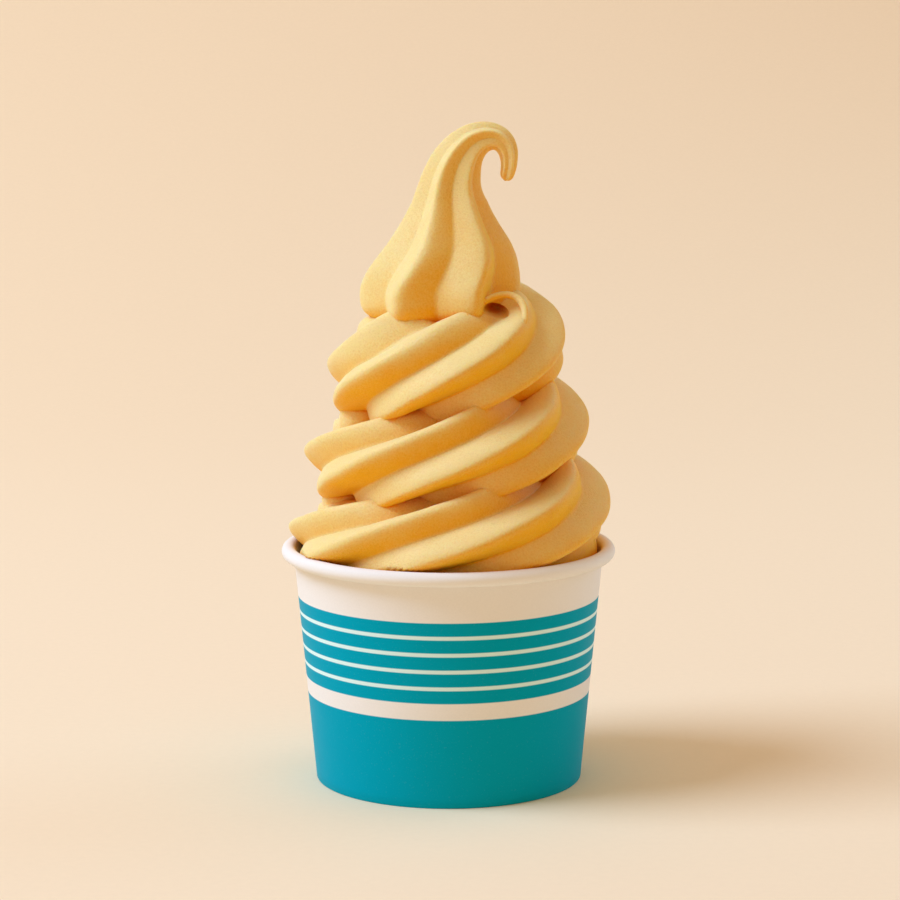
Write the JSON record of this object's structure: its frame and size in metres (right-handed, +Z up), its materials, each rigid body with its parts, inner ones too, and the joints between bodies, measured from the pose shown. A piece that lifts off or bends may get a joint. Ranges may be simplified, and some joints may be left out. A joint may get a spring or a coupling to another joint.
{
  "type": "mango soft serve",
  "caption": "Ridged rope of mango soft serve coiled into a tall tapering swirl with a drawn-up peak that hooks to one side, heaped in a round striped paper cup with a rolled rim.",
  "frame": {"origin": "middle of the cup's foot, on the surface it stands on", "axes": "+Z up along the cup's axis, -Y towards the viewer of the picture, +X to the viewer's right, the way the peak hooks"},
  "size_m": [0.095, 0.095, 0.1866],
  "materials": {
    "cup_paper": "coated white paperboard, printed with teal bands of colour below",
    "cup_board": "plain coated white paperboard",
    "mango_soft_serve": "soft satin, pale mango yellow with a fine icy grain"
  },
  "bodies": {
    "root": {"cup_wall": "cup_paper", "cup_base": "cup_board", "soft_serve": "mango_soft_serve"}
  },
  "joints": []
}
